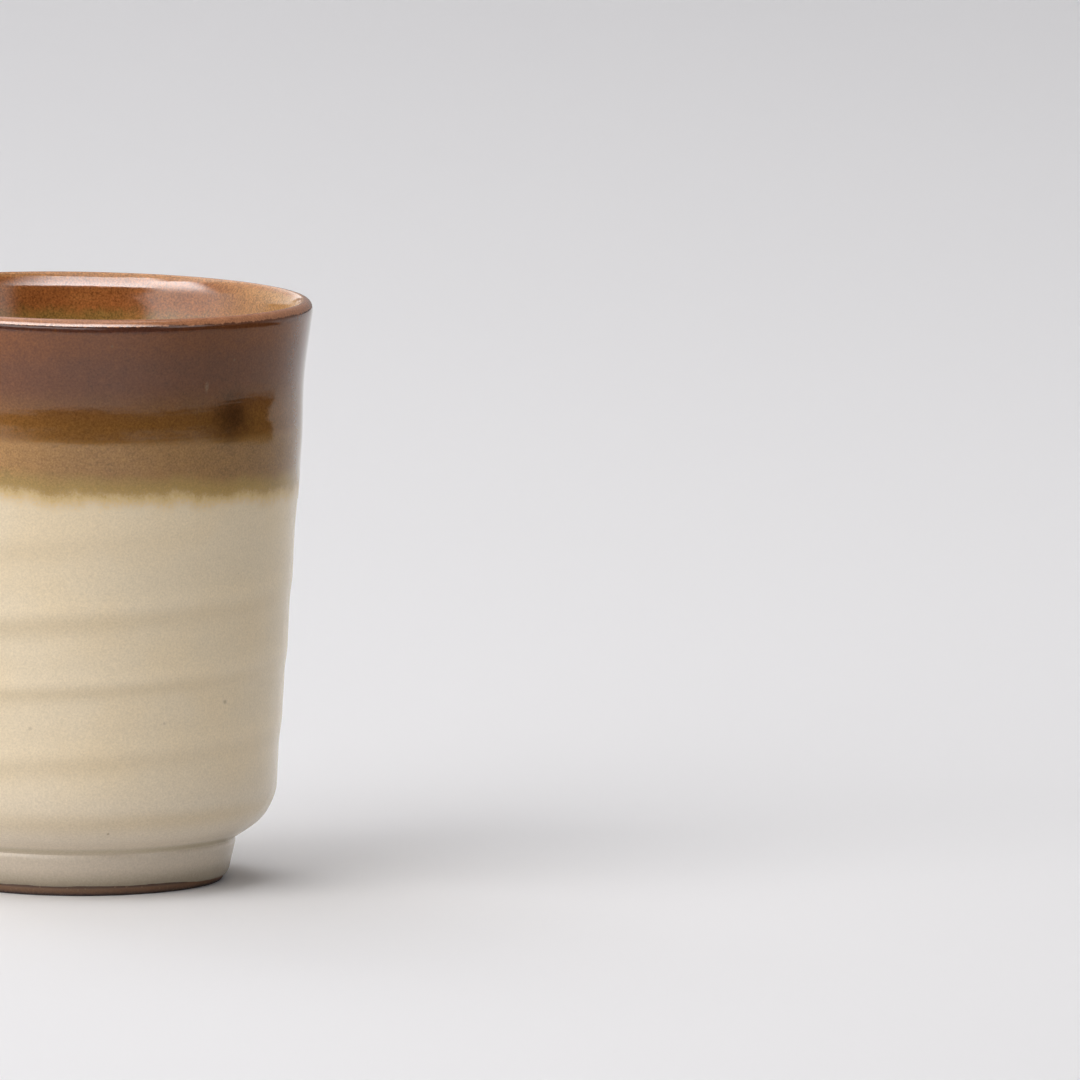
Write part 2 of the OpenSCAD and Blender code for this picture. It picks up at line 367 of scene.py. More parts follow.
# From the bottom of a groove, about -1/2, to the top of a ring, about 1/2, and more at the front
def spiralMark(z, turn):
    phase, strength = spiralPhase(z, turn)
    wave = sin(phase) + hand["overtone"] * sin(2 * phase)
    return strength * (1 + hand["frontDepth"] * front(turn)) * wave / 2


# Painted shade and light on a ring, partly also glaze pooling in the grooves: darker where the wall steps
# out and faces down, lighter on the crest above that faces up; and a darker line round the hip
def ringShadeAndLight(z, turn):
    look = ringLook
    phase, strength = spiralPhase(z, turn)
    phase = (phase + pi) % tau - pi
    strength *= 1 - look["calm"] * eased(z, *look["calmAbove"])
    strength *= 1 - look["calm"] * (1 - eased(z, *look["calmBelow"]))
    crest = look["crest"] * exp(-((phase - look["crestPhase"]) / look["crestReach"]) ** 2)
    step = exp(-(phase / look["stepReach"]) ** 2)
    hip = look["hip"] * exp(-((z - look["hipHeight"]) / look["hipReach"]) ** 2)
    return strength * (crest - step) - hip


# Everything the hand does to a true turned form. One field moves clay and glaze alike
def byHand(point):
    radius = hypot(point.x, point.y)
    turn = atan2(point.y, point.x)
    z = point.z
    if z > pot["footHeight"] and radius > pot["footTopRadius"] - hand["wallReach"]:
        outer = wallRadius(max(z, pot["hipHeight"]))
        side = share(radius, outer - wallThickness(z), outer)
        mark = spiralMark(z, turn)
        radius += hand["depth"] * mark * side - hand["innerDepth"] * mark * (1 - side)
    if z > floorMiddle and radius < pot["hipRadius"]:
        deep, shallow = hand["wellSkin"]
        reach = eased(radius, *hand["wellFadeIn"]) * (1 - eased(radius, *hand["wellFadeOut"]))
        reach *= share(z, wellFloor - deep, wellFloor - shallow)
        z += hand["wellDepth"] * reach * sin(tau * radius / hand["wellPitch"] - turn) / 2
    oval = cos(2 * turn - hand["roundTurn"]) * eased(z, hand["roundFrom"], pot["cupHeight"])
    slow = noise.noise(point / hand["slowSize"]) * eased(z, *hand["slowFade"])
    radius += hand["outOfRound"] * oval + hand["slowDepth"] * slow
    x = radius * cos(turn)
    z -= hand["lipTilt"] * x * eased(z, hand["tiltFrom"], pot["cupHeight"])
    if radius > pot["neckRadius"] - hand["wallReach"]:
        circle = Vector((cos(turn), sin(turn), 0)) * hand["strayTurns"]
        stray = hand["neckWobble"] * noise.noise(circle + Vector((0, 0, hand["strayRow"])))
        near = eased(z, hand["neckFadeIn"], neckLow) * (1 - eased(z, *hand["neckFadeOut"]))
        z += (stray + hand["neckRise"] * x) * near
    return Vector((x, radius * sin(turn), z))


# Spins an outline through an eighth of a turn, and doubles that up to a full turn, which is quicker
def spun(mesh, points, edges):
    steps = fineness["turn"] // 8
    bmesh.ops.spin(mesh, geom=points + edges, cent=(0, 0, 0), axis=(0, 0, 1), angle=tau / 8, steps=steps)
    for part in (8, 4, 2):
        copy = bmesh.ops.duplicate(mesh, geom=mesh.verts[:] + mesh.edges[:] + mesh.faces[:])["geom"]
        copied = [g for g in copy if isinstance(g, bmesh.types.BMVert)]
        bmesh.ops.rotate(mesh, verts=copied, cent=(0, 0, 0), matrix=Matrix.Rotation(tau / part, 3, "Z"))
    bmesh.ops.remove_doubles(mesh, verts=mesh.verts, dist=fineness["merge"] * mm)


# Puts a finished mesh into the scene
def placed(name, mesh):
    data = bpy.data.meshes.new(name)
    mesh.to_mesh(data)
    mesh.free()
    made = bpy.data.objects.new(name, data)
    bpy.context.scene.collection.objects.link(made)
    return made


# A closed shell round the axis from an outline, moved by the hand's field
def turned(name, outline, shift=None):
    mesh = bmesh.new()
    points = [mesh.verts.new((p.x * mm, 0, p.y * mm)) for p in outline]
    edges = [mesh.edges.new(pair) for pair in zip(points, points[1:])]
    if outline[0].x > 0:
        edges.append(mesh.edges.new((points[-1], points[0])))
    spun(mesh, points, edges)
    # Each point keeps the painted shade and light of its ring, which the cream's colour reads
    tone = mesh.verts.layers.float.new("ring")
    for vertex in mesh.verts:
        place = vertex.co / mm
        vertex[tone] = ringShadeAndLight(place.z, atan2(place.y, place.x)) if place.z > pot["footHeight"] else 0.0
        if shift:
            place.z += shift(place)
        vertex.co = byHand(place) * mm
    bmesh.ops.recalc_face_normals(mesh, faces=mesh.faces)
    for face in mesh.faces:
        face.smooth = True
    piece = placed(name, mesh)
    piece.data.set_sharp_from_angle(angle=radians(fineness["hardEdge"]))
    print("turned", name, len(piece.data.polygons), "faces")
    return piece


# Outline of a coat between the surface that it lies on and its own skin
def coatOutline(under, skin):
    pairs = zip(reversed(skin), reversed(under))
    return list(under) + [s for s, u in pairs if (s - u).length > glaze["leastThickness"]]


# The lower edge of the cream wanders a little where the foot was wiped
wipe = {
    "wideSize": 5.0, "wideDepth": 0.12, "wideRow": 3.0,
    "fineSize": 1.3, "fineDepth": 0.05, "fineRow": 9.0,
    "lift": 0.42,               # the edge is this much higher, and falls over this stretch of X
    "fall": 0.62,
    "fallOver": (13.0, 22.5),
    "reach": 3.0,
}


def wipedEdge(place):
    wide = noise.noise(Vector((place.x, place.y, wipe["wideRow"])) / wipe["wideSize"])
    fine = noise.noise(Vector((place.x, place.y, wipe["fineRow"])) / wipe["fineSize"])
    wander = wide * wipe["wideDepth"] + fine * wipe["fineDepth"]
    wander += wipe["lift"] - wipe["fall"] * eased(place.x, *wipe["fallOver"])
    return wander * (1 - eased(place.z, pot["bevelHeight"], pot["bevelHeight"] + wipe["reach"]))


# The lower edge of the amber was dipped at a slant. The height is where its colour starts
dip = {"alongX": -0.045, "alongY": -0.016, "height": 63.0, "fade": 14.0}


def dippedEdge(place):
    slant = dip["alongX"] * place.x + dip["alongY"] * place.y
    near = eased(place.z, glaze["amberFoot"] - dip["fade"], glaze["amberFoot"])
    return slant * near * (1 - eased(place.z, creamTop, creamTop + dip["fade"]))


runs = clayRuns()
outside = runs["outside"]
outsideOut = outward(outside)
creamSkin = coated(outside, outsideOut, creamThickness)
amberSkin = coated(creamSkin, outsideOut, amberThickness)
linerSkin = coated(runs["inside"], outward(runs["inside"]), linerThickness)
hollowSkin = coated(runs["hollow"], outward(runs["hollow"]), footThickness)
creamEnd = next(i for i, p in enumerate(outside) if p.y >= creamTop) + 1
amberStart = next(i for i, p in enumerate(outside) if p.y >= glaze["amberFoot"])

clayBody = turned("clayBody", runs["hollow"] + runs["rest"] + outside + runs["inside"][1:])
creamGlaze = turned("creamGlaze", coatOutline(outside[:creamEnd], creamSkin[:creamEnd]), wipedEdge)
amberGlaze = turned("amberGlaze", coatOutline(creamSkin[amberStart:], amberSkin[amberStart:]), dippedEdge)
linerGlaze = turned("linerGlaze", coatOutline(runs["inside"], linerSkin))
footGlaze = turned("footGlaze", coatOutline(runs["hollow"], hollowSkin))


# A socket that ordinary signs work on: each sign adds one Math node
class Wire:
    def __init__(self, finish, socket):
        self.finish = finish
        self.socket = socket

    def math(self, operation, *values):
        return self.finish.node("ShaderNodeMath", {"operation": operation}, dict(enumerate(values)))

    def __add__(self, other):
        return self.math("ADD", self, other)

    def __radd__(self, other):
        return self.math("ADD", other, self)

    def __sub__(self, other):
        return self.math("SUBTRACT", self, other)

    def __rsub__(self, other):
        return self.math("SUBTRACT", other, self)

    def __mul__(self, other):
        return self.math("MULTIPLY", self, other)

    def __rmul__(self, other):
        return self.math("MULTIPLY", other, self)

    def __abs__(self):
        return self.math("ABSOLUTE", self)

    def largest(self, other):
        return self.math("MAXIMUM", self, other)


# One material's node tree, with the few nodes that its look is made of
class Finish:
    def __init__(self, name, viewColour):
        self.material = bpy.data.materials.new(name)
        self.material.use_nodes = True
        self.material.diffuse_color = (*viewColour, 1)
        self.tree = self.material.node_tree
        self.tree.nodes.clear()
        self.output = self.tree.nodes.new("ShaderNodeOutputMaterial")

    # Any node: its type, its settings, then the values or links of its sockets
    def node(self, kind, settings=None, values=None, output=0):
        made = self.tree.nodes.new(kind)
        for key, value in (settings or {}).items():
            setattr(made, key, value)
        for key, value in (values or {}).items():
            if isinstance(value, Wire):
                self.tree.links.new(value.socket, made.inputs[key])
            else:
                made.inputs[key].default_value = value
        return Wire(self, made.outputs[output])

    # Object coordinates in millimetres, stretched along each axis
    def place(self, stretch=(1, 1, 1), shift=(0, 0, 0)):
        coordinates = self.node("ShaderNodeTexCoord", output="Object")
        values = {"Vector": coordinates, "Scale": tuple(s / mm for s in stretch), "Location": shift}
        return self.node("ShaderNodeMapping", values=values)

    def axis(self, place, index):
        return self.node("ShaderNodeSeparateXYZ", values={0: place}, output=index)

    def distance(self, place, point):
        return self.node("ShaderNodeVectorMath", {"operation": "DISTANCE"}, {0: place, 1: point}, "Value")

    def noise(self, place, size, detail=2.0, roughness=0.5):
        values = {"Vector": place, "Scale": 1 / size, "Detail": detail, "Roughness": roughness}
        return self.node("ShaderNodeTexNoise", values=values)

    # Cells of the given size: 0 at the centre of each, growing outwards
    def cells(self, place, size):
        values = {"Vector": place, "Scale": 1 / size, "Randomness": 1.0}
        return self.node("ShaderNodeTexVoronoi", {"feature": "F1"}, values, "Distance")

    # 0 below low, 1 above high, smooth between
    def rise(self, value, low, high):
        values = {"Value": value, "From Min": low, "From Max": high, "To Min": 0.0, "To Max": 1.0}
        return self.node("ShaderNodeMapRange", {"interpolation_type": "SMOOTHSTEP"}, values)

    def blend(self, first, second, factor):
        values = {0: factor, 6: self.colour(first), 7: self.colour(second)}
        return self.node("ShaderNodeMix", {"data_type": "RGBA"}, values, 2)

    def colour(self, value):
        return value if isinstance(value, Wire) else (*value, 1)

    # Brightens or darkens a colour by a number around 1
    def tinted(self, colour, factor):
        return self.node("ShaderNodeHueSaturation", values={"Color": self.colour(colour), "Value": factor})

    def bump(self, height, depth, under=None):
        values = {"Height": height, "Distance": depth * mm, "Strength": 1.0}
        if under:
            values["Normal"] = under
        return self.node("ShaderNodeBump", values=values)

    # The one shader, with the sockets that are named here
    def shade(self, **values):
        sockets = {}
        for key, value in values.items():
            key = key.replace("_", " ")
            sockets[key] = self.colour(value) if key.endswith("Color") else value
        shader = self.node("ShaderNodeBsdfPrincipled", values=sockets)
        self.tree.links.new(shader.socket, self.output.inputs["Surface"])
        return self.material


# A value moved up and down by patterns, each by its own reach
def swayed(value, patterns, reaches):
    for pattern, reach in zip(patterns, reaches):
        value = value + (pattern - 0.5) * reach
    return value


outerLook = {
    "cream": (0.755, 0.63, 0.445),
    "creamWarm": (0.77, 0.627, 0.422),
    "creamCool": (0.685, 0.59, 0.46),
    "creamFoot": (0.62, 0.53, 0.42),
    "creamRingShade": (0.63, 0.50, 0.315),
    "creamCreaseShade": (0.47, 0.40, 0.285),
    "creamThin": (0.36, 0.30, 0.215),
    "straw": (0.64, 0.45, 0.21),
    "olive": (0.37, 0.235, 0.068),
    "brown": (0.31, 0.162, 0.052),
    "golden": (0.195, 0.085, 0.020),
    "amber": (0.133, 0.046, 0.017),
    "red": (0.165, 0.053, 0.014),
    "lip": (0.42, 0.17, 0.075),
    "darkLine": (0.085, 0.030, 0.018),
    "speck": (0.16, 0.10, 0.05),
    "darkReflection": (0.05, 0.018, 0.006),
    "nick": (0.30, 0.20, 0.12),
    "ior": 1.5,
    "cloud": (14, 3.0, 0.5),            # patterns: size in millimetres, detail, roughness
    "grain": (0.32, 2.0, 0.6),
    "mottle": (2.2, 3.0, 0.6),
    "streak": (0.6, 3.0, 0.65),
    "wander": (8, 2.0, 0.5),
    "peel": (1.6, 2.0, 0.5),
    "fingerLines": (0.7, 3.0, 0.6),
    "streakStretch": (1, 1, 0.4),
    "wanderStretch": (1, 1, 0.5),
    "fingerStretch": (0.05, 0.05, 1),
    "cloudBlend": (0.35, 0.7),
    # painted light on the ring crests, and painted shade in the ring steps
    "crestLight": 0.10,
    "ringBlend": -0.5,
    "coolHeights": (9.0, 22.0),         # heights over which a colour comes or goes
    "footHeights": (5.5, 7.5),
    "thinHeights": (1.2, 4.8),
    "goldenHeights": (71.9, 73.6),
    "amberHeights": (74.5, 82.0),
    "redHeights": (84.0, 88.5),
    "darkLineHeights": (89.6, 90.4),
    "roughLipHeights": (89.8, 90.6),
    "lipHeights": (90.95, 91.15),
    "strawEdge": (-1.7, 0.9),           # the same, above the amber's slanted edge
    "oliveEdge": (0.2, 2.0),
    "brownEdge": (1.8, 5.0),
    "grainEdge": (-1.0, 4.0),
    "glossEdge": (0.0, 6.0),
    "edgeSway": (0.7, 2.8, 1.9, 2.6),   # how far streak, wander, mottle and grain move that edge
    "bandSway": (1.6, 1.0),             # how far mottle and grain move the amber's bands
    "goldenLean": 0.02,
    "creaseRise": 0.3,                  # the painted shade line in the crease, fainter at the left, where the light comes from
    "creaseReach": (0.1, 0.9),
    "creaseAcross": (8.0, 20.0),
    "creaseBlend": (0.6, 0.4),
    "amberTint": 0.95,                  # painted light and shade: the amber is lighter at the left, where the light comes from, and darker towards +X
    "leftPaintedLight": (0.47, -20.0, 4.0),
    "rightPaintedShade": (0.14, 4.0, 30.0),
    "highPaintedLight": (0.26, 20.0, 32.0),     # and painted light at the far right, above these heights
    "highHeights": (70.5, 73.5),
    "darkReflectionAt": (23.8, -24.8, 75.6),     # a painted reflection of a dark thing, in the golden band
    "darkReflectionReach": (0.0, 6.2),
    "darkReflectionSway": 4,
    "darkReflectionBlend": 0.8,
    "nickAt": (19.8, -28.2, 40.4),      # a pale nick in the coat, at half its height
    "nickStretch": (1, 1, 0.5),
    "nickReach": (0.15, 0.7),
    "nickSway": 0.8,
    "nickBlend": 0.5,
    "lipSway": (0.8, 0.5),              # how far streak and mottle move the dark line
    "darkLineRagged": (1.0, 1.4),
    "darkLineFade": (0.6, 10.0, 24.0),
    "scatterSize": 9,                   # specks anywhere, then those of the list below
    "scatterShift": (3, 5, 1),
    "scatterReach": (0.016, 0.034),
    "speckRadius": 31.5,
    "speckReach": (0.3, 1.6),
    "speckBlend": 0.42,
    "grainTint": (0.40, 0.9),
    "mottleTint": (0.25, 0.35),
    "fingerDepth": 0.008,
    "peelDepth": 0.014,
    "grainDepth": 0.003,
    "lipGrain": 1.5,
    "roughness": 0.075,
    "grainRoughness": 0.05,
    "creamRoughness": 0.165,
}

# Iron specks on the front, where the photo shows them: X, height and size in millimetres
specks = (
    (-7.7, 27.5, 0.35),
    (13.3, 28.0, 0.26),
    (22.6, 30.6, 0.34),
    (1.6, 48.1, 0.24),
    (22.4, 50.5, 0.26),
    (-3.0, 43.9, 0.22),
)


# Painted shade and light on the rings, cooler towards the foot, painted shade in the crease, and darker at
# the thin edge
def creamColour(f, x, z, cloud):
    look = outerLook
    cream = f.blend(look["cream"], look["creamWarm"], f.rise(cloud, *look["cloudBlend"]))
    cream = f.blend(cream, look["creamCool"], 1 - f.rise(z, *look["coolHeights"]))
    tone = f.node("ShaderNodeAttribute", {"attribute_name": "ring"}, output="Fac")
    cream = f.tinted(cream, 1 + look["crestLight"] * tone.largest(0.0))
    cream = f.blend(cream, look["creamRingShade"], (tone * look["ringBlend"]).largest(0.0))
    cream = f.blend(cream, look["creamFoot"], 1 - f.rise(z, *look["footHeights"]))
    crease = 1 - f.rise(abs(z - pot["footHeight"] - look["creaseRise"]), *look["creaseReach"])
    left, right = look["creaseBlend"]
    cream = f.blend(cream, look["creamCreaseShade"], crease * (left + right * f.rise(x, *look["creaseAcross"])))
    return f.blend(cream, look["creamThin"], 1 - f.rise(z, *look["thinHeights"]))


# In bands by height, with a painted dark reflection, the nick, and painted light and shade across X
def amberColour(f, place, x, z, mottle, grain):
    look = outerLook
    level = swayed(z, (mottle, grain), look["bandSway"])
    golden = f.rise(level + look["goldenLean"] * x, *look["goldenHeights"])
    amber = f.blend(look["brown"], look["golden"], golden)
    amber = f.blend(amber, look["amber"], f.rise(level, *look["amberHeights"]))
    amber = f.blend(amber, look["red"], f.rise(level, *look["redHeights"]))
    darkReflection = f.distance(place, look["darkReflectionAt"]) + (mottle - 0.5) * look["darkReflectionSway"]
    amber = f.blend(amber, look["darkReflection"], (1 - f.rise(darkReflection, *look["darkReflectionReach"])) * look["darkReflectionBlend"])
    nick = f.distance(f.place(look["nickStretch"]), look["nickAt"]) + (mottle - 0.5) * look["nickSway"]
    amber = f.blend(amber, look["nick"], (1 - f.rise(nick, *look["nickReach"])) * look["nickBlend"])
    # Painted light at the left and the far right, painted shade towards +X
    left, *leftOver = look["leftPaintedLight"]
    right, *rightOver = look["rightPaintedShade"]
    high, *highOver = look["highPaintedLight"]
    tint = look["amberTint"] + left * (1 - f.rise(x, *leftOver)) - right * f.rise(x, *rightOver)
    return f.tinted(amber, tint + high * f.rise(x, *highOver) * f.rise(z, *look["highHeights"]))


# 1 in a speck
def speckMask(f, place):
    look = outerLook
    scattered = f.cells(f.place(shift=look["scatterShift"]), look["scatterSize"])
    mask = 1 - f.rise(scattered, *look["scatterReach"])
    near, far = look["speckReach"]
    for x, z, size in specks:
        away = f.distance(place, (x, -sqrt(look["speckRadius"] ** 2 - x ** 2), z))
        mask = mask.largest(1 - f.rise(away, size * near, size * far))
    return mask


# Both outer coats share one expression, so that the lap of one over the other doesn't show
def outerFinish(name, viewColour):
    look = outerLook
    f = Finish(name, viewColour)
    place = f.place()
    x, y, z = (f.axis(place, i) for i in range(3))
    cloud, grain, mottle, peel = (f.noise(place, *look[k]) for k in ("cloud", "grain", "mottle", "peel"))
    streak = f.noise(f.place(look["streakStretch"]), *look["streak"])
    wander = f.noise(f.place(look["wanderStretch"]), *look["wander"])
    fingerLines = f.noise(f.place(look["fingerStretch"]), *look["fingerLines"])

    # Height above the slanted edge of the amber, roughened by the patterns
    above = z - (dip["height"] + dip["alongX"] * x + dip["alongY"] * y)
    above = swayed(above, (streak, wander, mottle, grain), look["edgeSway"])
    colour = f.blend(creamColour(f, x, z, cloud), look["straw"], f.rise(above, *look["strawEdge"]))
    colour = f.blend(colour, look["olive"], f.rise(above, *look["oliveEdge"]))
    amber = amberColour(f, place, x, z, mottle, grain)
    colour = f.blend(colour, amber, f.rise(above, *look["brownEdge"]))

    # The ragged dark line under the lip, partly the glaze breaking thin and partly a painted reflection of
    # the dark surroundings, fades towards +X
    lipLine = swayed(z + hand["lipTilt"] * x, (streak, mottle), look["lipSway"])
    fade, *fadeOver = look["darkLineFade"]
    ragged = f.rise(grain + streak + mottle, *look["darkLineRagged"]) * (1 - fade * f.rise(x, *fadeOver))
    colour = f.blend(colour, look["darkLine"], f.rise(lipLine, *look["darkLineHeights"]) * ragged)
    colour = f.blend(colour, look["lip"], f.rise(lipLine, *look["lipHeights"]))
    colour = f.blend(colour, look["speck"], speckMask(f, place) * look["speckBlend"])

    # The grain shows more in the amber than in the cream
    faint, more = look["grainTint"]
    less, part = look["mottleTint"]
    strength = faint + more * f.rise(above, *look["grainEdge"])
    colour = f.tinted(colour, 1 + (grain - 0.5) * strength + (mottle - 0.5) * (strength - less) * part)

    normal = f.bump(fingerLines, look["fingerDepth"])
    normal = f.bump(peel, look["peelDepth"], normal)
    lipGrain = 1 + look["lipGrain"] * f.rise(lipLine, *look["roughLipHeights"])
    normal = f.bump(grain * lipGrain, look["grainDepth"], normal)
    roughness = look["roughness"] + look["grainRoughness"] * (grain - 0.5)
    roughness = roughness + look["creamRoughness"] * (1 - f.rise(above, *look["glossEdge"]))
    return f.shade(Base_Color=colour, Roughness=roughness, Normal=normal, IOR=look["ior"])


linerLook = {
    "amber": (0.335, 0.108, 0.025),
    "bright": (0.46, 0.175, 0.045),
    "olive": (0.32, 0.175, 0.040),
    "deep": (0.15, 0.065, 0.02),
    "lip": (0.46, 0.205, 0.072),
    "golden": (0.60, 0.34, 0.12),
    "ior": 1.5,
    "cloud": (9, 3.0, 0.5),             # patterns: size in millimetres, detail, roughness
    "grain": (0.32, 2.0, 0.6),
    "mottle": (1.8, 3.0, 0.6),
    "peel": (2.4, 2.0, 0.5),
    "depthSway": (3, 2),                # how far mottle and grain move the bands
    "oliveHeights": (30.0, 78.0),
    "amberHeights": (84.5, 87.5),
    "goldenHeights": (78.0, 84.0),
    # painted light on the inner wall towards +X, which faces the light from the left
    "paintedLightAcross": (17.0, 33.0),
    "paintedLightBlend": 0.75,
    "cloudBlend": (0.45, 0.75),
    "brightBlend": 0.5,
    "lipHeights": (91.0, 91.6),
    "lipSway": 0.6,
    "tintSway": (2.1, 0.6),             # how far grain and mottle tint the colour
    "peelDepth": 0.02,
    "roughness": 0.10,
    "grainRoughness": 0.06,
}


def linerFinish(name, viewColour):
    look = linerLook
    f = Finish(name, viewColour)
    place = f.place()
    x = f.axis(place, 0)
    cloud, grain, mottle, peel = (f.noise(place, *look[k]) for k in ("cloud", "grain", "mottle", "peel"))
    height = f.axis(place, 2) + hand["lipTilt"] * x
    depth = swayed(height, (mottle, grain), look["depthSway"])
    colour = f.blend(look["deep"], look["olive"], f.rise(depth, *look["oliveHeights"]))
    colour = f.blend(colour, look["amber"], f.rise(depth, *look["amberHeights"]))
    colour = f.blend(colour, look["bright"], f.rise(cloud, *look["cloudBlend"]) * look["brightBlend"])
    # Painted light: golden on the inner wall towards +X, which faces the light from the left
    golden = f.rise(x, *look["paintedLightAcross"]) * f.rise(depth, *look["goldenHeights"])
    colour = f.blend(colour, look["golden"], golden * look["paintedLightBlend"])
    lip = f.rise(height + (mottle - 0.5) * look["lipSway"], *look["lipHeights"])
    colour = f.blend(colour, look["lip"], lip)
    colour = f.tinted(colour, swayed(1, (grain, mottle), look["tintSway"]))
    roughness = look["roughness"] + look["grainRoughness"] * (grain - 0.5)
    normal = f.bump(peel, look["peelDepth"])
    return f.shade(Base_Color=colour, Roughness=roughness, Normal=normal, IOR=look["ior"])


footLook = {
    "cool": (0.685, 0.59, 0.46),
    "warm": (0.77, 0.627, 0.422),
    "speck": (0.16, 0.10, 0.05),
    "ior": 1.5,
    "cloud": (7, 3.0, 0.5),             # patterns: size in millimetres, detail, roughness
    "grain": (0.4, 2.0, 0.6),
    "peel": (1.4, 3.0, 0.5),
    "cloudBlend": (0.35, 0.7),
    "speckSize": 7,
    "speckReach": (0.02, 0.045),
    "speckBlend": 0.8,
    "tint": (0.85, 0.3),
    "roughness": (0.28, 0.1),
    "peelDepth": 0.04,
}


def footFinish(name, viewColour):
    look = footLook
    f = Finish(name, viewColour)
    place = f.place()
    cloud, grain, peel = (f.noise(place, *look[k]) for k in ("cloud", "grain", "peel"))
    colour = f.blend(look["cool"], look["warm"], f.rise(cloud, *look["cloudBlend"]))
    scattered = 1 - f.rise(f.cells(place, look["speckSize"]), *look["speckReach"])
    colour = f.blend(colour, look["speck"], scattered * look["speckBlend"])
    colour = f.tinted(colour, look["tint"][0] + look["tint"][1] * grain)
    roughness = look["roughness"][0] + look["roughness"][1] * grain
    normal = f.bump(peel, look["peelDepth"])
    return f.shade(Base_Color=colour, Roughness=roughness, Normal=normal, IOR=look["ior"])


clayLook = {
    "light": (0.165, 0.075, 0.030),
    # painted shade: the shadow line at the very bottom, where the clay meets the floor, and the one under
    # the glaze's edge
    "dark": (0.030, 0.012, 0.006),
    "sand": (0.24, 0.14, 0.07),
    "ior": 1.45,
    "grain": (0.35, 3.0, 0.65),         # size in millimetres, detail, roughness
    "lightHeights": (0.25, 1.0),        # each with how far the grain moves it
    "lightSway": 0.4,
    "darkHeights": (1.25, 1.55),
    "darkSway": 0.3,
    "darkBlend": 0.7,
    "sandSize": 0.9,
    "sandReach": (0.1, 0.2),
    "sandBlend": 0.5,
    "tint": (0.7, 0.6),
    "roughness": (0.85, 0.2),
    "grainDepth": 0.06,
}


def clayFinish(name, viewColour):
    look = clayLook
    f = Finish(name, viewColour)
    place = f.place()
    z = f.axis(place, 2)
    grain = f.noise(place, *look["grain"])
    # Painted shade: dark at the very bottom, where the clay meets the floor, and a dark line under the
    # glaze's edge
    light = f.rise(z + grain * look["lightSway"], *look["lightHeights"])
    dark = f.rise(z + grain * look["darkSway"], *look["darkHeights"]) * look["darkBlend"]
    sand = (1 - f.rise(f.cells(place, look["sandSize"]), *look["sandReach"])) * look["sandBlend"]
    colour = f.blend(f.blend(look["dark"], look["light"], light), look["dark"], dark)
    colour = f.tinted(f.blend(colour, look["sand"], sand), look["tint"][0] + look["tint"][1] * grain)
    roughness = look["roughness"][0] - look["roughness"][1] * grain
    normal = f.bump(grain, look["grainDepth"])
    return f.shade(Base_Color=colour, Roughness=roughness, Normal=normal, IOR=look["ior"])


def slotColour(slot):
    for entry in frame["record"]["materials"]:
        if entry["slot"] == slot:
            return tuple(entry["base_color"])[:3]
    return (0.5, 0.5, 0.5)


dressed = (
    (clayBody, "clay_body", "bare_clay", clayFinish),
    (creamGlaze, "cream_glaze", "cream_glaze", outerFinish),
    (amberGlaze, "amber_glaze", "amber_glaze", outerFinish),
    (linerGlaze, "liner_glaze", "liner_glaze", linerFinish),
    (footGlaze, "foot_glaze", "foot_glaze", footFinish),
)
for piece, node, slot, finish in dressed:
    piece.data.materials.append(finish(piece.name + "Finish", slotColour(slot)))
    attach(piece, "root")
    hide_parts(node)
print("dressed", len(dressed), "pieces")


# Plain studio, in metres: what the camera sees, and a smaller table that only the glaze reflects
studio = {
    "floorColour": (0.80, 0.79, 0.80),
    "floorGrain": 400,
    "floorTint": (0.99, 0.02),
    "floorHalfWidth": 4.0,
    "floorFront": -6.0,
    "coveStart": 1.6,
    "coveRadius": 0.8,
    "coveSteps": 16,
    "wallHeight": 3.0,
    "matt": 0.9,
    "tableColour": (0.98, 0.97, 0.97),
    "tableShade": (0.68, 0.635, 0.58),      # where the cup's shadow falls, to its right
    "tableHeight": 0.0003,
    "tableEdge": ((-2, -0.385), (0.22, -0.385), (0.42, -0.22), (0.42, 0.23), (2, 0.23), (2, 2), (-2, 2)),
    "shadeRight": (0.05, 0.28),             # the shade comes in over this stretch of X
    "shadeBack": (0.05, 0.50),              # and goes over this stretch of Y
    "darkColour": (0.03, 0.02, 0.015),
    "darkHeight": 0.0001,
    "darkEdge": ((-5, -6), (5, -6), (5, 5), (-5, 5)),
    "domeRows": 12,
    "domeColumns": 24,
    "airColour": (0.86, 0.87, 0.89),
    "airStrength": 0.34,
}


# Matt paint that is clear from behind, so that a camera beyond the backdrop sees the cup too
def backdropFinish(name, colour):
    f = Finish(name, colour)
    base, grain = studio["floorTint"]
    tone = f.noise(f.place(), studio["floorGrain"], 1.0)
    toned = f.tinted(colour, base + grain * tone)
    f.shade(Base_Color=toned, Roughness=studio["matt"], Specular_IOR_Level=0.0)
    surface = f.output.inputs["Surface"]
    paint = Wire(f, surface.links[0].from_socket)
    behind = f.node("ShaderNodeNewGeometry", output="Backfacing")
    clear = f.node("ShaderNodeBsdfTransparent")
    mixed = f.node("ShaderNodeMixShader", values={0: behind, 1: paint, 2: clear})
    f.tree.links.new(mixed.socket, surface)
    return f.material


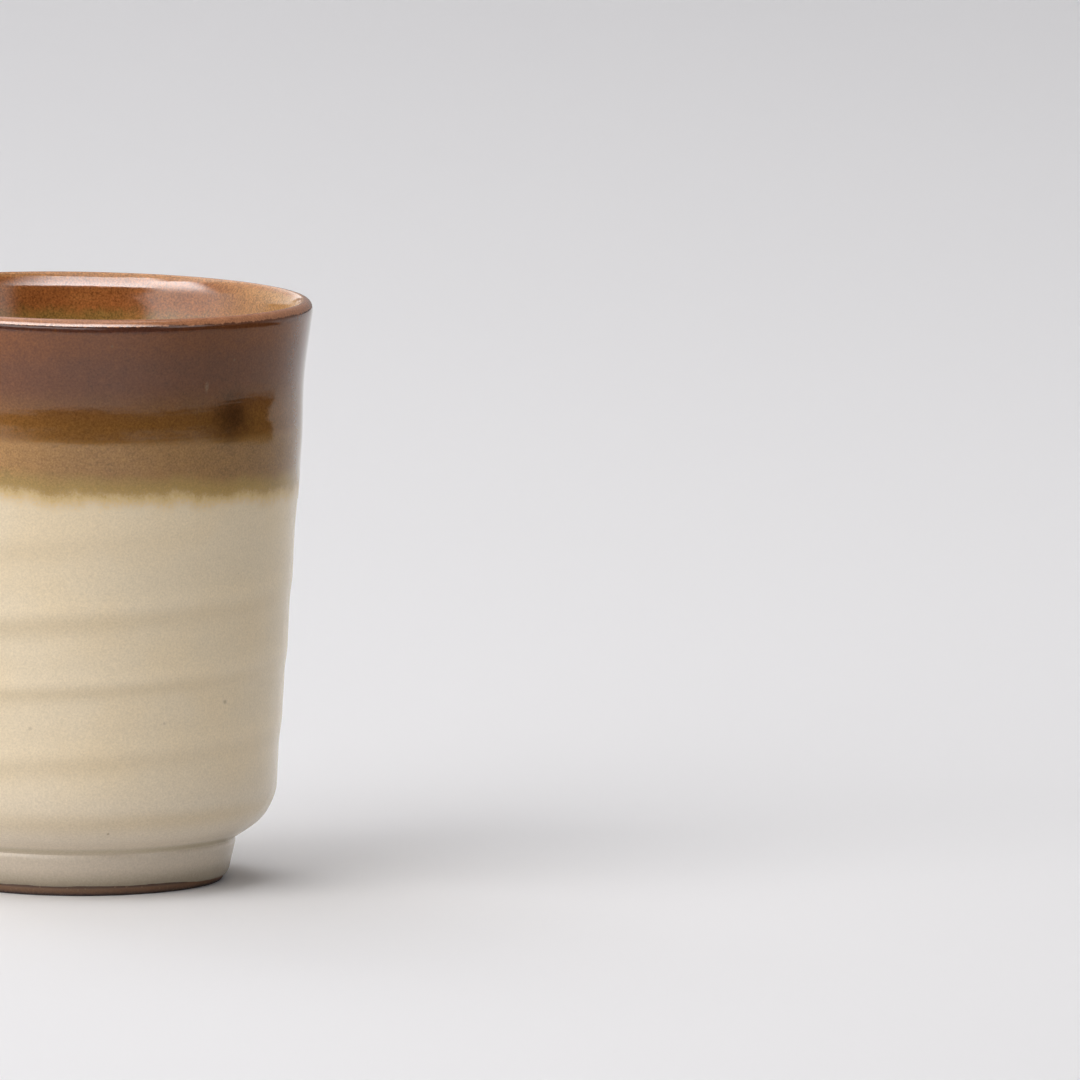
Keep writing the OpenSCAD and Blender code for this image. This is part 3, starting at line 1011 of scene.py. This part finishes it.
# Floor that curves up into a backdrop, drawn out of one edge chain
def backdrop():
    s = studio
    mesh = bmesh.new()
    chain = [Vector((0, s["floorFront"], 0)), Vector((0, s["coveStart"], 0))]
    for i in range(s["coveSteps"]):
        a = pi / 2 * (i + 1) / s["coveSteps"]
        chain.append(Vector((0, s["coveStart"] + s["coveRadius"] * sin(a), s["coveRadius"] * (1 - cos(a)))))
    chain.append(chain[-1] + Vector((0, 0, s["wallHeight"])))
    points = [mesh.verts.new(p + Vector((s["floorHalfWidth"], 0, 0))) for p in chain]
    edges = [mesh.edges.new(pair) for pair in zip(points, points[1:])]
    drawn = bmesh.ops.extrude_edge_only(mesh, edges=edges)["geom"]
    moved = [g for g in drawn if isinstance(g, bmesh.types.BMVert)]
    bmesh.ops.translate(mesh, verts=moved, vec=(-2 * s["floorHalfWidth"], 0, 0))
    bmesh.ops.recalc_face_normals(mesh, faces=mesh.faces)
    if sum(face.normal.z for face in mesh.faces) < 0:       # the painted side is the upper one
        bmesh.ops.reverse_faces(mesh, faces=mesh.faces)
    for face in mesh.faces:
        face.smooth = True
    made = placed("backdrop", mesh)
    made.data.materials.append(backdropFinish("backdropPaint", s["floorColour"]))
    made.visible_glossy = False


# A stage piece that only reflections see
def onlyReflected(made, material):
    made.data.materials.append(material)
    made.visible_camera = False
    made.visible_diffuse = False
    made.visible_shadow = False


# A flat sheet with the given corners, which turns to the shade towards +X
def reflected(name, corners, z, colour, shade):
    mesh = bmesh.new()
    mesh.faces.new([mesh.verts.new((x, y, z)) for x, y in corners])
    f = Finish(name + "Paint", colour)
    place = f.place((mm, mm, mm))
    right = f.rise(f.axis(place, 0), *studio["shadeRight"])
    back = f.rise(f.axis(place, 1), *studio["shadeBack"])
    toned = f.blend(colour, shade, right * (1 - back))
    paint = f.shade(Base_Color=toned, Roughness=studio["matt"], Specular_IOR_Level=0.0)
    onlyReflected(placed(name, mesh), paint)


# Part of a sphere round the cup that shines. Turns are degrees from the camera's side towards +X,
# rises degrees above the floor, low the share of the glow at the foot, soft the fades at the two
# ends, and lean how far the foot of the end towards +X is turned back
def reflectedDome(name, turns, rises, glow, low, soft, distance, lean):
    mesh = bmesh.new()
    rows = studio["domeRows"]
    chain = [radians(rises[0] + (rises[1] - rises[0]) * i / rows) for i in range(rows + 1)]
    points = [mesh.verts.new((0, -distance * cos(a), distance * sin(a))) for a in chain]
    edges = [mesh.edges.new(pair) for pair in zip(points, points[1:])]
    start = turns[0] - lean
    toStart = Matrix.Rotation(radians(start), 3, "Z")
    bmesh.ops.rotate(mesh, verts=mesh.verts, cent=(0, 0, 0), matrix=toStart)
    bmesh.ops.spin(mesh, geom=points + edges, cent=(0, 0, 0), axis=(0, 0, 1),
                   angle=radians(turns[1] - start), steps=studio["domeColumns"])
    f = Finish(name + "Glow", (1, 1, 1))
    place = f.place()
    upper = f.rise(f.axis(place, 2), distance * sin(chain[0]) / mm, distance * sin(chain[-1]) / mm)
    glowing = f.blend((low, low, low), (1, 1, 1), upper)
    opposite = {0: f.axis(place, 0), 1: f.axis(place, 1) * -1}
    around = f.node("ShaderNodeMath", {"operation": "ARCTAN2"}, opposite) * (180 / pi)
    first, last = sorted(turns)
    leaned = around + lean * (1 - upper)
    seen = f.rise(around, first, first + soft[0]) * (1 - f.rise(leaned, last - soft[1], last))
    shine = f.shade(Base_Color=(0, 0, 0), Emission_Color=glowing, Emission_Strength=glow,
                    Alpha=seen, Roughness=1.0)
    onlyReflected(placed(name, mesh), shine)


# The soft lights and dark corners that the glaze shows: name, turns, rises, glow, low, soft, distance, lean
domes = (
    ("frontLight", (-62, 60), (28, 62), 10.5, 1.6, (18, 50), 1.8, 0.0),
    ("keyGlow", (-84, -30), (14, 52), 15.0, 0.18, (16, 16), 1.2, 0.0),
    ("darkRoom", (-42, 43), (0, 28), 0.02, 1.0, (8, 8), 1.9, 0.0),
    ("leftHaze", (-38, -104), (0, 24), 3.4, 1.0, (40, 16), 1.6, -57.0),
    ("leftFar", (-60, -160), (0, 24), 1.2, 1.0, (10, 10), 1.7, 0.0),
    ("leftHigh", (-60, -178), (22, 62), 1.3, 1.0, (10, 10), 2.0, 0.0),
    ("rightLight", (37, 75), (6, 26), 1.9, 1.0, (14, 14), 1.9, 0.0),
    ("leftEdge", (-128, -178), (10, 62), 1.75, 1.0, (10, 24), 1.9, 0.0),
)

backdrop()
reflected("whiteTable", studio["tableEdge"], studio["tableHeight"],
          studio["tableColour"], studio["tableShade"])
reflected("darkFloor", studio["darkEdge"], studio["darkHeight"],
          studio["darkColour"], studio["darkColour"])
for dome in domes:
    reflectedDome(*dome)

# Square soft lamps. The key lamp doesn't show in the glaze: keyGlow stands in for it there
lamps = (
    {"name": "keyLamp", "at": (-0.98, -0.9, 0.95), "aim": (0, 0, 0.05), "size": 1.4, "power": 15.0,
     "colour": (1.0, 0.985, 0.97), "mirrored": False},
    {"name": "topLamp", "at": (-0.3, 0.1, 1.5), "aim": (0, 0, 0), "size": 1.6, "power": 12.0,
     "colour": (1.0, 1.0, 1.0), "mirrored": True},
    {"name": "backLamp", "at": (-0.7, 1.6, 1.6), "aim": (-0.2, 1.1, 0), "size": 1.2, "power": 9.0,
     "colour": (1.0, 1.0, 1.0), "mirrored": True},
)
for lamp in lamps:
    light = bpy.data.lights.new(lamp["name"], "AREA")
    light.shape = "SQUARE"
    light.size = lamp["size"]
    light.energy = lamp["power"]
    light.color = lamp["colour"]
    holder = bpy.data.objects.new(lamp["name"], light)
    holder.location = lamp["at"]
    holder.visible_glossy = lamp["mirrored"]
    holder.rotation_euler = (Vector(lamp["aim"]) - Vector(lamp["at"])).to_track_quat("-Z", "Y").to_euler()
    bpy.context.scene.collection.objects.link(holder)

world = bpy.data.worlds.new("studioAir")
world.use_nodes = True
air = world.node_tree.nodes["Background"].inputs
air["Color"].default_value = (*studio["airColour"], 1)
air["Strength"].default_value = studio["airStrength"]
bpy.context.scene.world = world
bpy.context.scene.view_settings.view_transform = "Standard"

# Camera of the photo: far away and narrow, a little above the middle of the cup
shot = {
    "aim": (0.0717, 0.0, 0.0534),
    "distance": 3.3,
    "elevation": 6.85,
    "width": 0.1694,            # what the frame takes in at the aim
    "sensor": 36.0,
    "reach": 50,
}
eye = bpy.data.cameras.new("photoCamera")
eye.sensor_width = shot["sensor"]
eye.lens = shot["sensor"] * shot["distance"] / shot["width"]
eye.clip_end = shot["reach"]
camera = bpy.data.objects.new("photoCamera", eye)
aim = Vector(shot["aim"])
tilt = radians(shot["elevation"])
camera.location = aim + Vector((0, -cos(tilt), sin(tilt))) * shot["distance"]
camera.rotation_euler = (aim - camera.location).to_track_quat("-Z", "Y").to_euler()
bpy.context.scene.collection.objects.link(camera)
bpy.context.scene.camera = camera
print("studio set")
